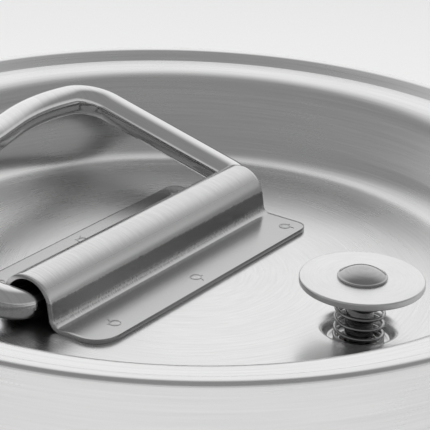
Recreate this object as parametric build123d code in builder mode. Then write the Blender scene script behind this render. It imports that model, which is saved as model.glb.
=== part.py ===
from build123d import *
from math import asin, atan2, cos, radians, sin, sqrt, tan
import os

os.makedirs("parts", exist_ok=True)

# Milk can: a stainless steel transport can with a recessed lid, a folding bail handle in a strap
# on the lid's floor, a sprung vent button beside it and two drop handles on the body.
# Millimetres, +Z up. The origin is on the ground under the middle of the foot ring.
# X runs along the bail's hinge, and the bail folds towards +Y. The vent button stands at -Y.

# ---- Driving dimensions ----

# can
body_radius = 178.0  # outside of the body's wall
can_sheet = 1.5
mouth_height = 540.0  # top of the mouth ring
belt_margin = 4.84  # from the weld between the two shells up to where the shoulder starts to bend
shoulder_height = 400.0  # where the body's wall would meet the shoulder's slope
shoulder_bend = 60.0
neck_radius = 113.0  # inside of the neck
neck_length = 70.0
neck_bend = 30.0
bottom_height = 22.0  # middle of the bottom's sheet above the ground
bottom_bend = 28.0
panel_radius = 115.0  # raised panel in the middle of the bottom
panel_rise = 4.0
hoop_height = 4.0  # swaged hoops round the body
hoop_half_width = 7.0
hoop_levels = (130.0, 255.0)
belt_width = 5.0
belt_rise = 0.6
mouth_ring_width = 8.0
mouth_ring_depth = 8.0

# foot ring
foot_inset = 7.0  # from the body's wall in to the middle of the ring's sheet
foot_sheet = 2.5
foot_flange = 14.0
foot_bend = 5.0

# lid
lid_sheet = 1.2
lid_gap = 0.3  # between the gasket and the mouth ring
gasket_thickness = 3.0
gasket_fit = 0.05  # between the gasket and the rim over it
recess_depth = 26.5
recess_gap = 3.0  # from the neck in to the recess wall, at the top
wall_run = 13.5  # how far the recess wall leans in on its way down
cove_bend = 14.0
rim_bend = 9.0
rim_rise = 0.8  # how much the rim climbs from the recess out to the bead
bead_inset = 7.5  # from the outside of the skirt in to the foot of the bead
bead_run = 4.1  # across the bead's slope
bead_rise = 2.9
bead_bend = 1.2
skirt_gap = 5.1  # from the mouth ring out to the skirt
skirt_bend = 1.8
skirt_length = 19.5

# handle bracket, a strap of omega section
bracket_sheet = 1.5
bracket_length = 110.0
bracket_width = 54.4
bracket_shift = -3.0  # along X, from the lid's middle
bracket_offset = 13.7  # along Y, from the lid's middle
channel_gap = 2.5  # between the rod and the inside of the strap's crown
hinge_rise = 1.2  # under the rod in the strap
wall_lean = 10.0  # degrees from upright
bracket_bend = 3.0
corner_radius_left = 8.0
corner_radius_right = 4.0
weld_spots = (-0.378, -0.01, 0.444)  # places along the bracket, as shares of its length
weld_spot_radius = 1.7
weld_spot_rise = 0.25

# bail
rod_diameter = 10.0
bail_gap = 0.8  # between an arm and the bracket's end
bail_clear = 0.377  # between a corner of the bail and the recess wall it leans on
bail_splay = 0.8  # how much wider each side is at the corner
bail_bulge = 4.2  # how far the grip stands out beyond the corner's point
bulge_place = 36.0  # from the middle of the grip
grip_dip = 2.6  # how far the middle of the grip lies inside the corner's point
hinge_bend = 9.0
grip_corner_bend = 12.0
bulge_bend = 78.0
dip_bend = 60.0
bail_tilt = 12.7  # degrees above level, with a corner leaning on the recess wall
butt_gap = 1.2
butt_weld_rise = 0.3
butt_weld_width = 3.5

# vent valve
vent_place = (1.0, -63.0)
dimple_radius = 13.5
dimple_depth = 4.2
dimple_slope = 1.5
dimple_bend = 2.4
seat_bend = 1.4
vent_hole_radius = 5.5
button_radius = 18.4
button_thickness = 2.2
button_height = 15.8  # top of the button above the lid's floor
stem_radius = 4.2
neck_pin_radius = 3.2  # the stem's two stepped ends
rivet_head_radius = 7.4
rivet_head_edge = 0.7
rivet_head_rise = 2.5
spring_radius = 7.1  # middle of the wire
spring_wire = 1.15
spring_turns = 5.5
spring_gap = 0.05
seal_gap = 0.1
seal_radius = 13.0
seal_thickness = 2.0
valve_radius = 14.5
valve_thickness = 1.5
washer_radius = 6.5
washer_thickness = 1.0
tail_radius = 4.9
tail_rise = 1.8

# side handles
plate_sheet = 2.0
plate_length = 150.0
plate_height = 46.0
plate_corner = 8.0
handle_drop = 28.0  # from the belt weld down to the hinges of the side handles
lug_radius = 9.0
lug_length = 12.0
lug_spread = 54.0  # from the middle to a lug's middle
side_rod = 10.0
side_running_gap = 0.08
side_arm_spread = 70.0
side_reach = 75.0
side_hinge_bend = 9.0
side_grip_bend = 18.0
rod_end_past = 2.0

# ---- Worked out from them ----

body_mid = body_radius - can_sheet / 2
neck_mid = neck_radius + can_sheet / 2
neck_outside = neck_radius + can_sheet
neck_foot = mouth_height - neck_length
shoulder_turn = atan2(body_mid - neck_mid, neck_foot - shoulder_height)
belt_height = shoulder_height - shoulder_bend * tan(shoulder_turn / 2) - belt_margin
handle_level = belt_height - handle_drop
foot_radius = body_radius - foot_inset
recess_radius = neck_radius - recess_gap  # at the top of the recess
floor_radius = recess_radius - wall_run  # where the wall's slope would meet the floor
lid_radius = neck_outside + mouth_ring_width + skirt_gap + lid_sheet  # outside of the skirt
bead_start = lid_radius - bead_inset
floor_top = mouth_height + lid_gap + gasket_thickness + lid_sheet - recess_depth
wall_slope = wall_run / recess_depth  # outward run of the recess wall per mm up
wall_angle = atan2(wall_run, recess_depth)
rim_mid = recess_depth - lid_sheet / 2
gasket_top = recess_depth - lid_sheet
rim_inside = floor_radius + wall_slope * (rim_mid - rim_rise) + lid_sheet / 2 / cos(wall_angle)
rim_slope = rim_rise / (bead_start - rim_inside)
crown_mid = rod_diameter / 2 + channel_gap + bracket_sheet / 2
crown_height = rod_diameter / 2 + hinge_rise  # middle of the crown above the lid's floor
hinge_height = floor_top + crown_height


def floor_plane(height):
    """A level plane at a height above the lid's floor."""
    return Plane.XY.offset(floor_top + height)


def wall_line(height, offset):
    """Radius of the recess wall at a height, moved out square to the wall by an offset."""
    return floor_radius + wall_slope * height + offset / cos(wall_angle)


def revolve_sheet(points, radii, thickness):
    """A turned shell whose sheet follows a filleted line of (radius, height) points."""
    with BuildPart() as shell:
        with BuildSketch(Plane.XZ):
            with BuildLine():
                FilletPolyline(*points, radius=radii)
            trace(line_width=thickness)
        revolve(axis=Axis.Z)
    return shell.part


def save(part, name):
    part.label = name
    export_step(part, f"parts/{name}.step")


# ---- Can ----


def hoop_points(level):
    """The outline of one swaged hoop, from below to above."""
    return [
        (body_mid, level - hoop_half_width),
        (body_mid + hoop_height, level),
        (body_mid, level + hoop_half_width),
    ]


body_points = [
    (0, bottom_height + panel_rise),
    (panel_radius, bottom_height + panel_rise),
    (panel_radius + 2 * panel_rise, bottom_height),
    (body_mid, bottom_height),
]
body_bends = [10, 10, bottom_bend]
for level in hoop_levels:
    body_points += hoop_points(level)
    body_bends += [6, 5, 6]
body_points.append((body_mid, belt_height))

with BuildPart() as can_body:
    add(revolve_sheet(body_points, body_bends, can_sheet))
save(can_body.part, "can_body")

shoulder_points = [
    (body_mid, belt_height),
    (body_mid, shoulder_height),
    (neck_mid, neck_foot),
    (neck_mid, mouth_height),
]
with BuildPart() as can_shoulder:
    add(revolve_sheet(shoulder_points, [shoulder_bend, neck_bend], can_sheet))
save(can_shoulder.part, "can_shoulder")

# the seam where the two shells are welded, a low rounded bead
with BuildPart() as belt_weld:
    with BuildSketch(Plane.XZ):
        with BuildLine():
            low_end = (body_radius, belt_height - belt_width / 2)
            high_end = (body_radius, belt_height + belt_width / 2)
            ThreePointArc(low_end, (body_radius + belt_rise, belt_height), high_end)
            Line(high_end, low_end)
        make_face()
    revolve(axis=Axis.Z)
save(belt_weld.part, "belt_weld")

# the ring that stiffens the mouth, flat against the neck and round outside
with BuildPart() as mouth_ring:
    with BuildSketch(Plane.XZ) as ring_section:
        with Locations((neck_outside, mouth_height)):
            Rectangle(mouth_ring_width, mouth_ring_depth, align=(Align.MIN, Align.MAX))
        outer_corners = ring_section.vertices().group_by(Axis.X)[-1]
        fillet(outer_corners, radius=0.49 * min(mouth_ring_depth, mouth_ring_width))
    revolve(axis=Axis.Z)
save(mouth_ring.part, "mouth_ring")

# the ring the can stands on: an upright wall scribed to the body's lower bend, and a flange turned in
with BuildPart() as foot_ring:
    foot_points = [
        (foot_radius - foot_flange, foot_sheet / 2),
        (foot_radius, foot_sheet / 2),
        (foot_radius, bottom_height + bottom_bend),
    ]
    add(revolve_sheet(foot_points, [foot_bend], foot_sheet))
    with BuildSketch(Plane.XZ) as body_outline:
        with Locations((0, bottom_height - can_sheet / 2)):
            Rectangle(body_radius, mouth_height, align=(Align.MIN, Align.MIN))
        low_corner = body_outline.vertices().group_by(Axis.Y)[0].sort_by(Axis.X)[-1]
        fillet(low_corner, radius=bottom_bend + can_sheet / 2)
    revolve(axis=Axis.Z, mode=Mode.SUBTRACT)
save(foot_ring.part, "foot_ring")

# ---- Side handles ----

pivot_radius = body_radius + plate_sheet + lug_radius + 0.5
lug_inside = lug_spread - lug_length / 2


def make_side_plate(name, turn):
    """A plate rolled to the body's wall, under the two lugs."""
    with BuildPart() as side_plate:
        with BuildSketch(Plane.XY.offset(handle_level - plate_height / 2)):
            Circle(body_radius + plate_sheet)
            Circle(body_radius, mode=Mode.SUBTRACT)
        extrude(amount=plate_height)
        with BuildSketch(Plane.YZ) as blank:
            with Locations((0, handle_level)):
                RectangleRounded(plate_length, plate_height, plate_corner)
        extrude(amount=2 * body_radius, mode=Mode.INTERSECT)
    save(side_plate.part.rotate(Axis.Z, turn), name)


def make_side_lugs(name, turn):
    """Two short tubes across the plate, each on a foot that is scribed to the plate."""
    with BuildPart() as side_lugs:
        for side in (-1, 1):
            with BuildSketch(Plane.XZ.offset(-side * lug_spread)):
                with Locations((pivot_radius, handle_level)):
                    Circle(lug_radius)
                with Locations((pivot_radius, handle_level)):
                    foot_run = pivot_radius - body_radius + lug_radius
                    Rectangle(foot_run, 2 * lug_radius, align=(Align.MAX, Align.CENTER))
                with Locations((pivot_radius, handle_level)):
                    Circle(side_rod / 2 + side_running_gap, mode=Mode.SUBTRACT)
            extrude(amount=lug_length / 2, both=True)
        with BuildSketch(Plane.XY.offset(handle_level - 2 * lug_radius)):
            Circle(body_radius + plate_sheet)
        extrude(amount=4 * lug_radius, mode=Mode.SUBTRACT)
    save(side_lugs.part.rotate(Axis.Z, turn), name)


def make_side_handle(name, turn):
    """A round rod bent to a U, with its ends turned in through the lugs."""
    rod_end = lug_inside - rod_end_past
    low = handle_level - side_reach
    with BuildPart() as side_handle:
        with BuildLine(Plane.YZ.offset(pivot_radius)) as route:
            FilletPolyline(
                (rod_end, handle_level),
                (side_arm_spread, handle_level),
                (side_arm_spread, low),
                (-side_arm_spread, low),
                (-side_arm_spread, handle_level),
                (-rod_end, handle_level),
                radius=[side_hinge_bend, side_grip_bend, side_grip_bend, side_hinge_bend],
            )
        with BuildSketch(Plane.XZ.offset(-rod_end)):
            with Locations((pivot_radius, handle_level)):
                Circle(side_rod / 2)
        sweep(path=route.wires()[0])
    save(side_handle.part.rotate(Axis.Z, turn), name)


for side_name, side_turn in (("right", 0), ("left", 180)):
    make_side_plate(f"side_plate_{side_name}", side_turn)
    make_side_lugs(f"side_lugs_{side_name}", side_turn)
    make_side_handle(f"side_handle_{side_name}", side_turn)

# ---- Lid ----

lid_points = [
    (0, -lid_sheet / 2),
    (wall_line(-lid_sheet / 2, lid_sheet / 2), -lid_sheet / 2),
    (rim_inside, rim_mid - rim_rise),
    (bead_start, rim_mid),
    (bead_start + bead_run, rim_mid + bead_rise),
    (lid_radius - lid_sheet / 2, rim_mid + bead_rise),
    (lid_radius - lid_sheet / 2, rim_mid + bead_rise - skirt_length),
]
lid_bends = [cove_bend, rim_bend, bead_bend, bead_bend, skirt_bend]

dimple_points = [
    (dimple_radius, -lid_sheet / 2),
    (dimple_radius - 2.2, -lid_sheet / 2),
    (dimple_radius - 2.2 - dimple_slope, -dimple_depth - lid_sheet / 2),
    (vent_hole_radius, -dimple_depth - lid_sheet / 2),
]

with BuildPart() as lid_pan:
    with Locations((0, 0, floor_top)):
        add(revolve_sheet(lid_points, lid_bends, lid_sheet))
    with BuildSketch(floor_plane(-lid_sheet)):
        with Locations(vent_place):
            Circle(dimple_radius)
    extrude(amount=lid_sheet, mode=Mode.SUBTRACT)
    with Locations((*vent_place, floor_top)):
        add(revolve_sheet(dimple_points, [dimple_bend, seat_bend], lid_sheet))
save(lid_pan.part, "lid_pan")

# a seal of L section under the rim: a flat that meets the mouth ring, and a lip inside the neck
lip_low = gasket_top - 10.0
gasket_low = gasket_top - gasket_thickness
gasket_reach = bead_start - 0.5
gasket_high = gasket_top - gasket_fit - 0.5 * rim_slope
seal_offset = lid_sheet + 0.1
# where the lines under the rim and behind the recess wall meet
corner_run = bead_start - wall_line(0, seal_offset)
corner_height = (gasket_top - gasket_fit - rim_slope * corner_run) / (1 - rim_slope * wall_slope)
with BuildPart() as lid_gasket:
    with BuildSketch(Plane.XZ) as gasket_section:
        with BuildLine():
            Polyline(
                (wall_line(lip_low, seal_offset), floor_top + lip_low),
                (neck_radius - 0.4, floor_top + lip_low),
                (neck_radius - 0.4, floor_top + gasket_low),
                (gasket_reach, floor_top + gasket_low),
                (gasket_reach, floor_top + gasket_high),
                (wall_line(corner_height, seal_offset), floor_top + corner_height),
                close=True,
            )
        make_face()
        corner_point = (wall_line(corner_height, seal_offset), floor_top + corner_height, 0)
        inner_corner = gasket_section.vertices().sort_by_distance(corner_point)[0]
        fillet(inner_corner, radius=rim_bend - lid_sheet / 2)
    revolve(axis=Axis.Z)
save(lid_gasket.part, "lid_gasket")

# ---- Handle bracket ----

lean = radians(wall_lean)
apex_height = crown_height + crown_mid / sin(lean)  # where the two leaning walls would meet
foot_half = (apex_height - bracket_sheet / 2) * tan(lean)
bracket_left = bracket_shift - bracket_length / 2
bracket_right = bracket_shift + bracket_length / 2

with BuildPart() as handle_bracket:
    with BuildSketch(Plane.YZ.offset(bracket_left)):
        with BuildLine():
            FilletPolyline(
                (bracket_offset - bracket_width / 2, floor_top + bracket_sheet / 2),
                (bracket_offset - foot_half, floor_top + bracket_sheet / 2),
                (bracket_offset, floor_top + apex_height),
                (bracket_offset + foot_half, floor_top + bracket_sheet / 2),
                (bracket_offset + bracket_width / 2, floor_top + bracket_sheet / 2),
                radius=[bracket_bend, crown_mid, bracket_bend],
            )
        trace(line_width=bracket_sheet)
    extrude(amount=bracket_length)
    upright = handle_bracket.edges().filter_by(Axis.Z)
    fillet(upright.group_by(Axis.X)[0], radius=corner_radius_left)
    upright = handle_bracket.edges().filter_by(Axis.Z)
    fillet(upright.group_by(Axis.X)[-1], radius=corner_radius_right)
save(handle_bracket.part, "handle_bracket")

# the buttons that spot welding leaves on the two flanges
flange_middle = (foot_half + bracket_bend + bracket_width / 2) / 2 + 2.0
with BuildPart() as bracket_welds:
    with BuildSketch(floor_plane(bracket_sheet)):
        for share in weld_spots:
            for side in (-1, 1):
                place = (bracket_shift + share * bracket_length, bracket_offset + side * flange_middle)
                with Locations(place):
                    Circle(weld_spot_radius)
    extrude(amount=weld_spot_rise)
save(bracket_welds.part, "bracket_welds")

# ---- Bail ----

arm_half = bracket_length / 2 + bail_gap + rod_diameter / 2
tilt = radians(bail_tilt)
bail_plane = Plane(
    origin=(bracket_shift, bracket_offset, hinge_height),
    x_dir=(1, 0, 0),
    z_dir=(0, -sin(tilt), cos(tilt)),
)
corner_half = arm_half + bail_splay
butt_half = butt_gap / 2

# The bail reaches as far as lets its further corner lean on the recess wall. The corner's arc has its
# middle corner_across from the lid's axis along X and corner_along from the hinge. The wall widens as
# the arm climbs, so the place where the two meet is the root of a quadratic in corner_along.
corner_across = abs(bracket_shift) + corner_half - grip_corner_bend
corner_room = wall_line(crown_height, -rod_diameter / 2 - bail_clear) - grip_corner_bend
widening = wall_slope * sin(tilt)
squared = cos(tilt) ** 2 - widening**2
doubled = bracket_offset * cos(tilt) - corner_room * widening
constant = corner_across**2 + bracket_offset**2 - corner_room**2
corner_along = (sqrt(doubled**2 - squared * constant) - doubled) / squared
bail_reach = corner_along + grip_corner_bend

with BuildPart() as bail:
    with BuildLine(bail_plane) as bail_route:
        FilletPolyline(
            (butt_half, 0),
            (arm_half, 0),
            (corner_half, bail_reach),
            (bulge_place, bail_reach + bail_bulge),
            (0, bail_reach - grip_dip),
            (-bulge_place, bail_reach + bail_bulge),
            (-corner_half, bail_reach),
            (-arm_half, 0),
            (-butt_half, 0),
            radius=[
                hinge_bend,
                grip_corner_bend,
                bulge_bend,
                dip_bend,
                bulge_bend,
                grip_corner_bend,
                hinge_bend,
            ],
        )
    with BuildSketch(Plane.YZ.offset(bracket_shift + butt_half)):
        with Locations((bracket_offset, hinge_height)):
            Circle(rod_diameter / 2)
    sweep(path=bail_route.wires()[0])
save(bail.part, "bail")

# the butt weld that closes the loop, inside the channel
with BuildPart() as bail_weld:
    with BuildSketch(Plane.XY.offset(hinge_height)) as weld_section:
        with Locations((bracket_shift, bracket_offset)):
            Rectangle(butt_gap, rod_diameter / 2, align=(Align.CENTER, Align.MIN))
        with BuildLine():
            weld_root = bracket_offset + rod_diameter / 2
            weld_left = (bracket_shift - butt_weld_width / 2, weld_root)
            weld_right = (bracket_shift + butt_weld_width / 2, weld_root)
            ThreePointArc(weld_left, (bracket_shift, weld_root + butt_weld_rise), weld_right)
            Line(weld_right, weld_left)
        make_face()
    revolve(axis=Axis((bracket_shift, bracket_offset, hinge_height), (1, 0, 0)))
save(bail_weld.part, "bail_weld")

# ---- Vent valve ----

vent_x, vent_y = vent_place
vent_axis = Axis((vent_x, vent_y, 0), (0, 0, 1))
vent_section = Plane(origin=(vent_x, vent_y, floor_top), x_dir=(1, 0, 0), z_dir=(0, -1, 0))
button_under = button_height - button_thickness
seal_top = -dimple_depth - lid_sheet - seal_gap
valve_top = seal_top - seal_thickness
washer_top = valve_top - valve_thickness
tail_top = washer_top - washer_thickness


def cap_middle(radius, rise):
    """The point halfway along a round cap's arc, from its rim, as (radius, height above the rim)."""
    ball = (radius**2 + rise**2) / (2 * rise)
    half = asin(radius / ball) / 2
    return ball * sin(half), rise - ball + ball * cos(half)


def vent_ring(name, radius, top, thickness, edge):
    """A flat ring round the stem's stepped end."""
    with BuildPart() as ring:
        with BuildSketch(floor_plane(top - thickness)):
            with Locations(vent_place):
                Circle(radius)
                Circle(neck_pin_radius, mode=Mode.SUBTRACT)
        extrude(amount=thickness)
        rim_edges = ring.edges().filter_by(GeomType.CIRCLE).group_by(SortBy.LENGTH)[-1]
        fillet(rim_edges, radius=edge)
    save(ring.part, name)


vent_ring("vent_button", button_radius, button_height, button_thickness, 0.4)
vent_ring("vent_seal", seal_radius, seal_top, seal_thickness, 0.4)
vent_ring("vent_valve_plate", valve_radius, valve_top, valve_thickness, 0.3)
vent_ring("vent_washer", washer_radius, washer_top, washer_thickness, 0.2)

# the rivet: a domed head on the button, a stem that is thicker between its two steps, a peened tail
with BuildPart() as vent_rivet:
    with BuildSketch(vent_section):
        with BuildLine():
            head_base = button_height + rivet_head_edge
            head_top = head_base + rivet_head_rise
            head_side = (rivet_head_radius, head_base)
            mid_radius, mid_rise = cap_middle(rivet_head_radius, rivet_head_rise)
            ThreePointArc((0, head_top), (mid_radius, head_base + mid_rise), head_side)
            tail_side = (tail_radius, tail_top)
            Polyline(
                head_side,
                (rivet_head_radius, button_height),
                (neck_pin_radius, button_height),
                (neck_pin_radius, button_under),
                (stem_radius, button_under),
                (stem_radius, seal_top),
                (neck_pin_radius, seal_top),
                (neck_pin_radius, tail_top),
                tail_side,
            )
            mid_radius, mid_rise = cap_middle(tail_radius, tail_rise)
            ThreePointArc(tail_side, (mid_radius, tail_top - mid_rise), (0, tail_top - tail_rise))
            Line((0, tail_top - tail_rise), (0, head_top))
        make_face()
    revolve(axis=vent_axis)
save(vent_rivet.part, "vent_rivet")

spring_low = -dimple_depth + spring_gap + spring_wire / 2
spring_high = button_under - spring_gap - spring_wire / 2
with BuildPart() as vent_spring:
    with BuildLine(Plane(origin=(vent_x, vent_y, floor_top + spring_low))) as coil:
        Helix(
            pitch=(spring_high - spring_low) / spring_turns,
            height=spring_high - spring_low,
            radius=spring_radius,
        )
    with BuildSketch(Plane(origin=coil.line @ 0, z_dir=coil.line % 0)):
        Circle(spring_wire / 2)
    sweep(path=coil.wires()[0], is_frenet=True)
save(vent_spring.part, "vent_spring")
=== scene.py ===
import math

import bmesh
import bpy
from mathutils import Matrix, Vector


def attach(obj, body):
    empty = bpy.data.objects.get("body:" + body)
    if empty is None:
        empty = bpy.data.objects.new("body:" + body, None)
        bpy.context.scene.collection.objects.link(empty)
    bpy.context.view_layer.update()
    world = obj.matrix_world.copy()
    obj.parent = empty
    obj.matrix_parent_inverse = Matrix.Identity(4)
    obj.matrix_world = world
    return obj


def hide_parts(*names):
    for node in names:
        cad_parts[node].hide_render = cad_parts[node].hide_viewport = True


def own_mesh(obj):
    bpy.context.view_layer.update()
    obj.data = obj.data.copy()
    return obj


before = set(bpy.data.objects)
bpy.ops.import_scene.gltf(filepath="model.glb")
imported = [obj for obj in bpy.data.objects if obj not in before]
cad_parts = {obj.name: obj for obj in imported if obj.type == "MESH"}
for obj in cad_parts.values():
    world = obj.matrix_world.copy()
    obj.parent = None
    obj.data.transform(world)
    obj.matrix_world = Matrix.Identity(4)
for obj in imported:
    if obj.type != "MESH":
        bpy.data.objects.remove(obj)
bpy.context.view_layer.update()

# Milk can: the looks around its frame. Sizes below are millimetres and become metres in makePiece.
mm = 0.001
scene = bpy.context.scene
print("frame loaded:", len(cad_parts), "nodes")


# an sRGB hex colour as the linear colour that shaders take
def linearColour(hexColour):
    channels = [int(hexColour[i:i + 2], 16) / 255 for i in (1, 3, 5)]
    return [c / 12.92 if c <= 0.04045 else ((c + 0.055) / 1.055) ** 2.4 for c in channels] + [1.0]


# one node with its settings; an input takes a value, or a link when it is given a socket
def addNode(tree, kind, inputs=None, **settings):
    node = tree.nodes.new(kind)
    for name, value in settings.items():
        setattr(node, name, value)
    for key, value in (inputs or {}).items():
        if isinstance(value, bpy.types.NodeSocket):
            tree.links.new(value, node.inputs[key])
        else:
            node.inputs[key].default_value = value
    return node


# points in millimetres along straight runs joined by arcs
def bentLine(corners, bends, arcStep=0.7):
    corners = [Vector(c) for c in corners]
    points = [corners[0]]
    for before, corner, after, bend in zip(corners, corners[1:], corners[2:], bends):
        inward = (before - corner).normalized()
        onward = (after - corner).normalized()
        turn = math.pi - inward.angle(onward)
        start = corner + inward * bend * math.tan(turn / 2)
        middle = corner + (inward + onward).normalized() * bend / math.cos(turn / 2)
        steps = max(4, math.ceil(turn * bend / arcStep), math.ceil(math.degrees(turn) / 9))
        for i in range(steps + 1):
            angle = turn * i / steps
            points.append(middle + (start - middle) * math.cos(angle) - inward * bend * math.sin(angle))
    points.append(corners[-1])
    return points


# splits the long runs of a line so that no step is longer than the given one
def splitRuns(points, longest):
    out = [points[0]]
    for a, b in zip(points, points[1:]):
        count = max(1, math.ceil((b - a).length / longest))
        out += [a.lerp(b, (i + 1) / count) for i in range(count)]
    return out


# the outline of a sheet that follows a line of (radius, height), its cut ends eased
def sheetOutline(line, thickness, ease=0.3):
    half = thickness / 2
    sides = ([], [])
    for i, point in enumerate(line):
        run = line[min(i + 1, len(line) - 1)] - line[max(i - 1, 0)]
        square = Vector((-run.y, run.x)).normalized()
        sides[0].append(point + square * half)
        sides[1].append(point - square * half)

    def easedEnd(first, second, outward):
        across = (second - first).normalized()
        bow = []
        for corner, sign in ((first, 1), (second, -1)):
            hub = corner + across * sign * ease - outward * ease
            for i in range(4):
                angle = math.pi / 2 * (i / 3 if sign == 1 else 1 - i / 3)
                bow.append(hub - across * sign * ease * math.cos(angle) + outward * ease * math.sin(angle))
        return bow

    outline = list(sides[0])
    if line[-1].x > 0.001:
        last = (line[-1] - line[-2]).normalized()
        outline = outline[:-1] + easedEnd(sides[0][-1], sides[1][-1], last) + sides[1][::-1][1:]
    else:
        outline += sides[1][::-1]
    if line[0].x > 0.001:
        first = (line[0] - line[1]).normalized()
        outline = outline[1:-1] + easedEnd(sides[1][0], sides[0][0], first)
    return outline


# an object in the scene around its mesh, light or camera
def placeObject(name, data):
    thing = bpy.data.objects.new(name, data)
    scene.collection.objects.link(thing)
    return thing


# a mesh object; points are millimetres, and edges that turn over the crisp angle stay sharp
def makePiece(name, points, faces, material, crisp=38):
    mesh = bpy.data.meshes.new(name)
    mesh.from_pydata([Vector(p) * mm for p in points], [], faces)
    work = bmesh.new()
    work.from_mesh(mesh)
    bmesh.ops.remove_doubles(work, verts=work.verts, dist=0.000001)
    bmesh.ops.recalc_face_normals(work, faces=work.faces)
    work.to_mesh(mesh)
    work.free()
    mesh.materials.append(material)
    mesh.shade_smooth()
    mesh.set_sharp_from_angle(angle=math.radians(crisp))
    return placeObject(name, mesh)


# loose points, or points along edges, for a node tree to grow from
def seedPiece(name, points, edges=()):
    mesh = bpy.data.meshes.new(name)
    mesh.from_pydata([Vector(p) * mm for p in points], edges, [])
    return placeObject(name, mesh)


# the faces of an open grid of points, row by row
def gridFaces(rows, columns):
    return [[r * columns + c, r * columns + c + 1, (r + 1) * columns + c + 1, (r + 1) * columns + c]
            for r in range(rows - 1) for c in range(columns - 1)]


# the faces of a tube whose rows of points are closed rings
def tubeFaces(rows, sides):
    faces = []
    for row in range(rows - 1):
        for k in range(sides):
            n = (k + 1) % sides
            faces.append([row * sides + k, row * sides + n, (row + 1) * sides + n, (row + 1) * sides + k])
    return faces


# how much a rounded corner shortens a row of points that lies a margin inside the edge
def cornerCut(corner, margin):
    inside = max(0.0, corner - margin)
    return corner - math.sqrt(max(0.0, corner**2 - inside**2))


# a turned piece from rings of (radius, height, centre x, centre y); open outlines start and end on the axis
def turnedPiece(name, rings, material, sides=256, closed=True, crisp=38):
    points, loops = [], []
    for radius, height, x, y in rings:
        if radius < 0.001:
            points.append((x, y, height))
            loops.append([len(points) - 1])
            continue
        loops.append(list(range(len(points), len(points) + sides)))
        for i in range(sides):
            angle = 2 * math.pi * i / sides
            points.append((x + radius * math.cos(angle), y + radius * math.sin(angle), height))
    faces = []
    pairs = list(zip(loops, loops[1:])) + ([(loops[-1], loops[0])] if closed else [])
    for a, b in pairs:
        for i in range(sides):
            j = (i + 1) % sides
            quad = [a[i % len(a)], a[j % len(a)], b[j % len(b)], b[i % len(b)]]
            face = list(dict.fromkeys(quad))
            if len(face) > 2:
                faces.append(face)
    return makePiece(name, points, faces, material, crisp)


# a round bar along points in millimetres; the bar lies in the plane square to flat
def barPiece(name, line, radius, flat, material, sides=40, shape=None):
    points = []
    for i, point in enumerate(line):
        run = (line[min(i + 1, len(line) - 1)] - line[max(i - 1, 0)]).normalized()
        across = run.cross(flat).normalized()
        for k in range(sides):
            angle = 2 * math.pi * k / sides
            spoke = across * math.cos(angle) + flat * math.sin(angle)
            lift = shape(point, spoke) if shape else 0
            points.append(point + spoke * (radius + lift))
    caps = [list(range(sides)), list(range(len(points) - sides, len(points)))]
    return makePiece(name, points, tubeFaces(len(line), sides) + caps, material, 50)


# gives a sheet its thickness, and eases the edges that turn over an angle
def finishSheet(piece, thickness, ease, angle, even=False):
    if thickness:
        thick = piece.modifiers.new("sheet", "SOLIDIFY")
        thick.thickness = thickness * mm
        thick.offset = 0.0
        thick.use_even_offset = even
    edge = piece.modifiers.new("edge", "BEVEL")
    edge.width = ease * mm
    edge.segments = 2
    edge.limit_method = "ANGLE"
    edge.angle_limit = math.radians(angle)
    return settle(piece, 40)


# turns a live piece with its modifiers into a plain mesh
def settle(piece, crisp=38):
    bpy.context.view_layer.update()
    depsgraph = bpy.context.evaluated_depsgraph_get()
    mesh = bpy.data.meshes.new_from_object(piece.evaluated_get(depsgraph))
    piece.modifiers.clear()
    piece.data = mesh
    mesh.name = piece.name
    mesh.shade_smooth()
    mesh.set_sharp_from_angle(angle=math.radians(crisp))
    return piece


# runs a node tree on a piece with its named inputs, and keeps the result as a plain mesh
def growPiece(piece, tree, values, crisp=38):
    modifier = piece.modifiers.new("grow", "NODES")
    modifier.node_group = tree
    for item in tree.interface.items_tree:
        if item.item_type == "SOCKET" and item.in_out == "INPUT" and item.name in values:
            modifier[item.identifier] = values[item.name]
    return settle(piece, crisp)


# a new node tree for geometry with its named inputs
def newTree(name, inputs):
    tree = bpy.data.node_groups.new(name, "GeometryNodeTree")
    tree.interface.new_socket("Geometry", in_out="INPUT", socket_type="NodeSocketGeometry")
    for label, kind, value in inputs:
        socket = tree.interface.new_socket(label, in_out="INPUT", socket_type=kind)
        if value is not None:
            socket.default_value = value
    tree.interface.new_socket("Geometry", in_out="OUTPUT", socket_type="NodeSocketGeometry")
    return tree, tree.nodes.new("NodeGroupInput"), tree.nodes.new("NodeGroupOutput")


# an empty material and its node tree
def newMaterial(name):
    material = bpy.data.materials.new(name)
    material.use_nodes = True
    material.node_tree.nodes.clear()
    return material, material.node_tree


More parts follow.
